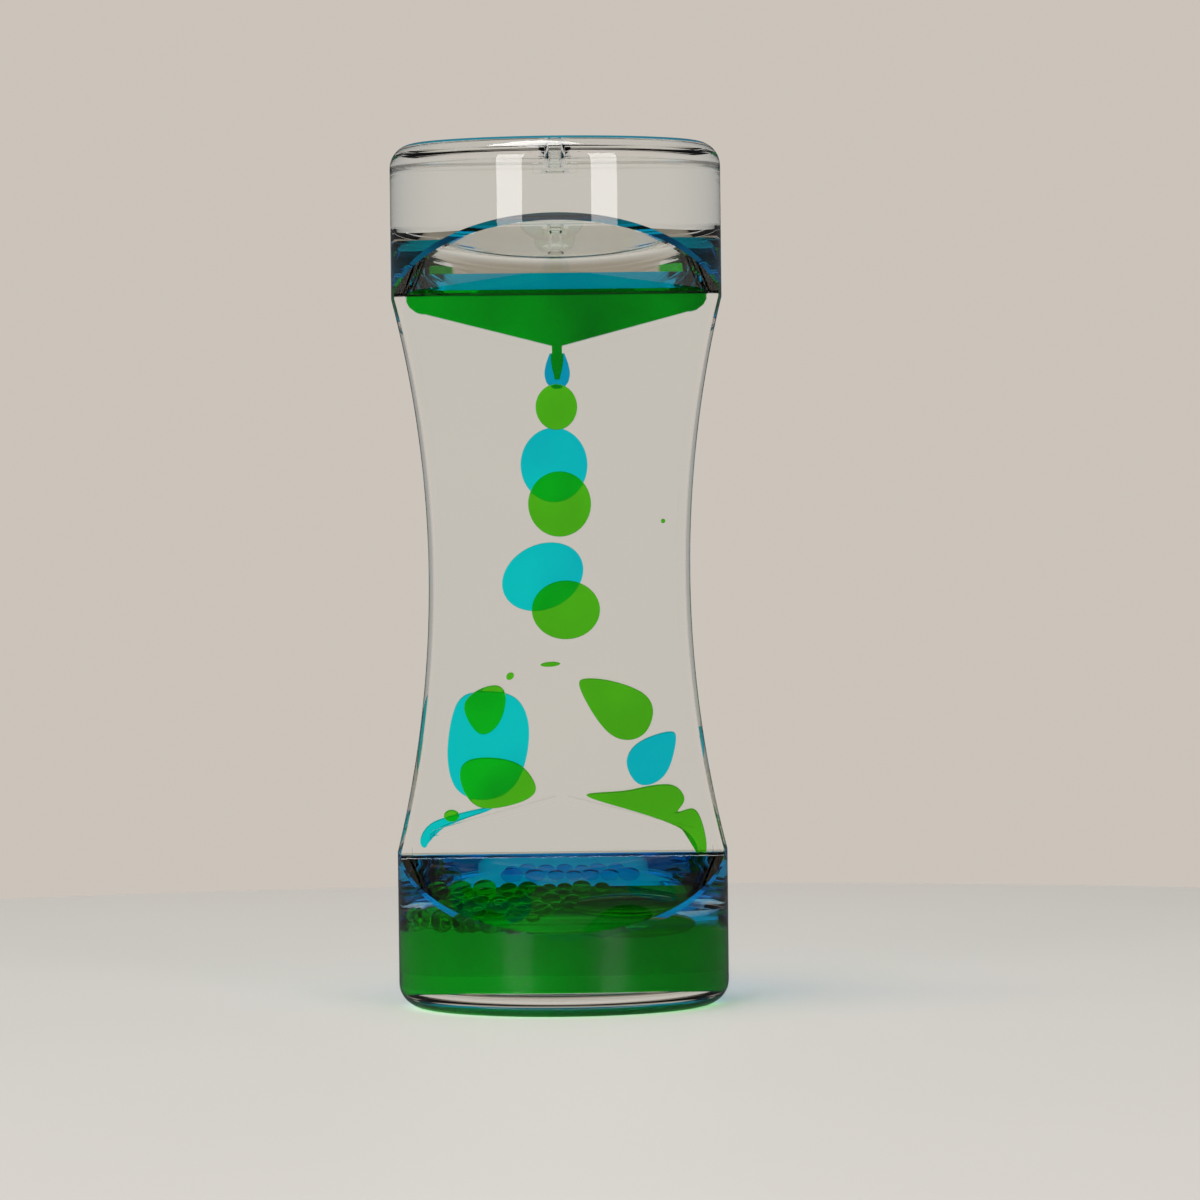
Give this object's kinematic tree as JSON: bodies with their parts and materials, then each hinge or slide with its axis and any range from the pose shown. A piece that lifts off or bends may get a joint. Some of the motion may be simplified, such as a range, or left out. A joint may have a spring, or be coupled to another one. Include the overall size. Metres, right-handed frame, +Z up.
{
  "type": "liquid motion timer",
  "caption": "Clear hourglass-shaped timer whose coloured liquids drip through funnels down thin chambers, one behind the other.",
  "frame": {"origin": "centre of the base, on the plane it stands on", "axes": "+Z up through the waist, -Y out of the front window (green chamber), +X to the right seen from the front"},
  "size_m": [0.055, 0.055, 0.1435],
  "materials": {
    "clear_shell": "clear polished styrene plastic",
    "divider": "clear polished styrene sheet",
    "green_liquid": "clear deep green dyed water",
    "blue_liquid": "clear turquoise blue dyed water"
  },
  "bodies": {
    "vessel": {"front_shell": "clear_shell", "rear_shell": "clear_shell", "divider_plate": "divider", "front_fill_plug": "clear_shell", "rear_fill_plug": "clear_shell", "green_upper_pool": "green_liquid", "green_lower_pool": "green_liquid", "green_drop_rest": "green_liquid", "green_bead_rib": "green_liquid", "green_rib_stream": "green_liquid", "green_bubble_heap": "green_liquid", "blue_upper_pool": "blue_liquid", "blue_lower_pool": "blue_liquid", "blue_drop_column": "blue_liquid", "blue_rib_trickle": "blue_liquid", "blue_bubble_heap": "blue_liquid"},
    "green_drop_middle_body": {"green_drop_middle": "green_liquid"},
    "green_drop_top_body": {"green_drop_top": "green_liquid"},
    "green_drop_low_body": {"green_drop_low": "green_liquid"},
    "green_sliver_body": {"green_sliver": "green_liquid"},
    "blue_drop_middle_body": {"blue_drop_middle": "blue_liquid"},
    "blue_drop_top_body": {"blue_drop_top": "blue_liquid"},
    "green_drop_shield_body": {"green_drop_shield": "green_liquid"},
    "green_bead_left_body": {"green_bead_left": "green_liquid"},
    "green_drop_wing_body": {"green_drop_wing": "green_liquid"},
    "blue_drop_comma_body": {"blue_drop_comma": "blue_liquid"},
    "green_bead_right_body": {"green_bead_right": "green_liquid"},
    "blue_bead_fallen_body": {"blue_bead_fallen": "blue_liquid"}
  },
  "joints": [
    {"name": "green_drop_middle_fall", "type": "slide", "parent": "vessel", "child": "green_drop_middle_body", "axis": [0, 0, -1], "range_m": [0, 0.005]},
    {"name": "green_drop_top_fall", "type": "slide", "parent": "vessel", "child": "green_drop_top_body", "axis": [0, 0, -1], "range_m": [0, 0.005]},
    {"name": "green_drop_low_fall", "type": "slide", "parent": "vessel", "child": "green_drop_low_body", "axis": [0, 0, -1], "range_m": [0, 0.005]},
    {"name": "green_sliver_fall", "type": "slide", "parent": "vessel", "child": "green_sliver_body", "axis": [0, 0, -1], "range_m": [0, 0.005]},
    {"name": "blue_drop_middle_fall", "type": "slide", "parent": "vessel", "child": "blue_drop_middle_body", "axis": [0, 0, -1], "range_m": [0, 0.01]},
    {"name": "blue_drop_top_fall", "type": "slide", "parent": "vessel", "child": "blue_drop_top_body", "axis": [0, 0, -1], "range_m": [0, 0.01]},
    {"name": "green_drop_shield_fall", "type": "slide", "parent": "vessel", "child": "green_drop_shield_body", "axis": [0, 0, -1], "range_m": [0, 0.0023]},
    {"name": "green_bead_left_fall", "type": "slide", "parent": "vessel", "child": "green_bead_left_body", "axis": [0, 0, -1], "range_m": [0, 0.0023]},
    {"name": "green_drop_wing_fall", "type": "slide", "parent": "vessel", "child": "green_drop_wing_body", "axis": [0, 0, -1], "range_m": [0, 0.006]},
    {"name": "blue_drop_comma_fall", "type": "slide", "parent": "vessel", "child": "blue_drop_comma_body", "axis": [0, 0, -1], "range_m": [0, 0.0035]},
    {"name": "green_bead_right_fall", "type": "slide", "parent": "vessel", "child": "green_bead_right_body", "axis": [0, 0, -1], "range_m": [0, 0.03]},
    {"name": "blue_bead_fallen_fall", "type": "slide", "parent": "vessel", "child": "blue_bead_fallen_body", "axis": [0, 0, -1], "range_m": [0, 0.0026]}
  ],
  "couplings": [
    {"joint": "green_drop_top_fall", "follows": "green_drop_middle_fall", "ratio": 1},
    {"joint": "green_drop_low_fall", "follows": "green_drop_middle_fall", "ratio": 1},
    {"joint": "green_sliver_fall", "follows": "green_drop_middle_fall", "ratio": 1},
    {"joint": "blue_drop_top_fall", "follows": "blue_drop_middle_fall", "ratio": 1},
    {"joint": "green_bead_left_fall", "follows": "green_drop_shield_fall", "ratio": 1}
  ]
}
